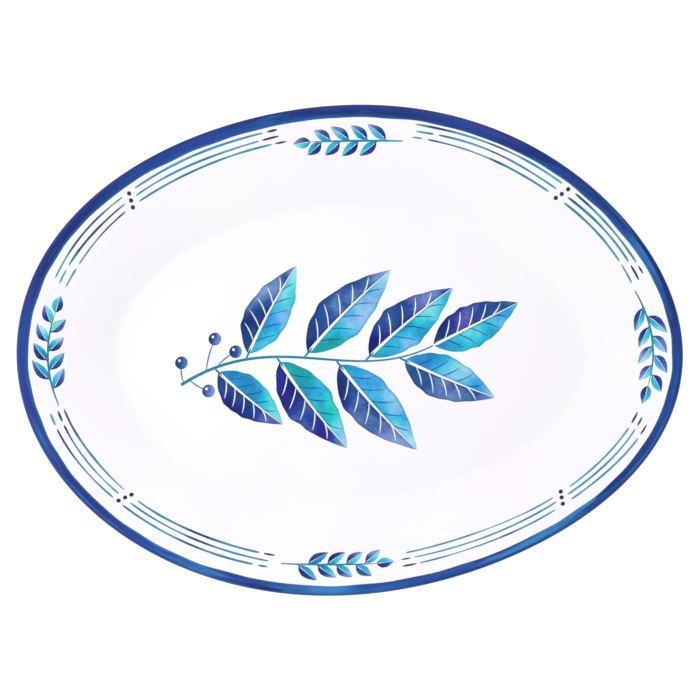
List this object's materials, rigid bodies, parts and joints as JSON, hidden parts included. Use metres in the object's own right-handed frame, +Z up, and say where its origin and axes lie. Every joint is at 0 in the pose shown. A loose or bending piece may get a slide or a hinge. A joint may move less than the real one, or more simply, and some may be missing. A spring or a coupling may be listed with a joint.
{
  "type": "oval serving platter",
  "caption": "Oval melamine serving platter with a sloping wall, a full-round lip and a low foot ring; its printed decal with a blue border lies under a clear glaze.",
  "frame": {"origin": "on the table, under the middle of the platter's box", "axes": "+X along the length, +Y across the width, +Z up out of the dish"},
  "size_m": [0.406, 0.302, 0.032],
  "materials": {
    "white_melamine": "white melamine as it leaves the mould, satin to glossy",
    "border_blue": "decal printed in deep blue, under the glaze",
    "printed_white": "white decal printed in blues and turquoise, under the glaze",
    "clear_glaze": "clear glossy melamine coat"
  },
  "bodies": {
    "root": {"core_moulding": "white_melamine", "border_foil": "border_blue", "wall_foil": "printed_white", "well_foil": "printed_white", "glaze_coat": "clear_glaze"}
  },
  "joints": []
}
